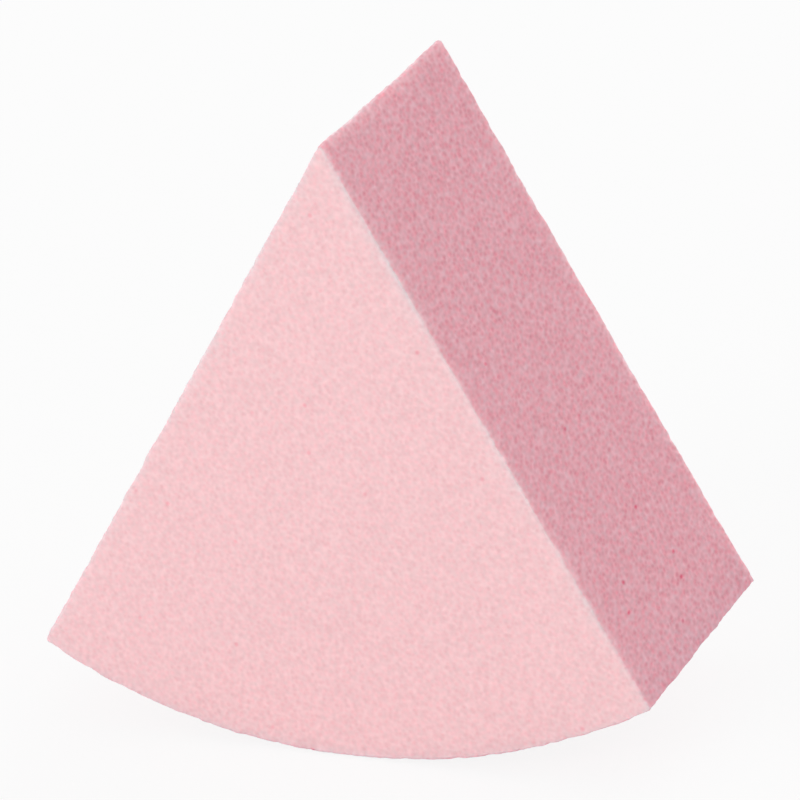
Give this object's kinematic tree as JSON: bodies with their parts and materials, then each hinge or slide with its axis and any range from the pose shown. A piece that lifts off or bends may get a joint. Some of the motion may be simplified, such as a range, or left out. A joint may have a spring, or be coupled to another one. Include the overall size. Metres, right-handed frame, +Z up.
{
  "type": "makeup sponge wedge",
  "caption": "Wedge of soft pink foam, a slice of a round with a blunt tip and a curved edge, held in the fingers to pat on powder or blend foundation.",
  "frame": {"origin": "lowest point of the curved edge, half way through the thickness", "axes": "+Z up from the curved edge to the tip, +X to the right as seen from the front, +Y from the front face to the back face"},
  "size_m": [0.0496, 0.026, 0.0494],
  "materials": {
    "foam": "matte"
  },
  "bodies": {
    "root": {"foam_wedge": "foam"}
  },
  "joints": []
}
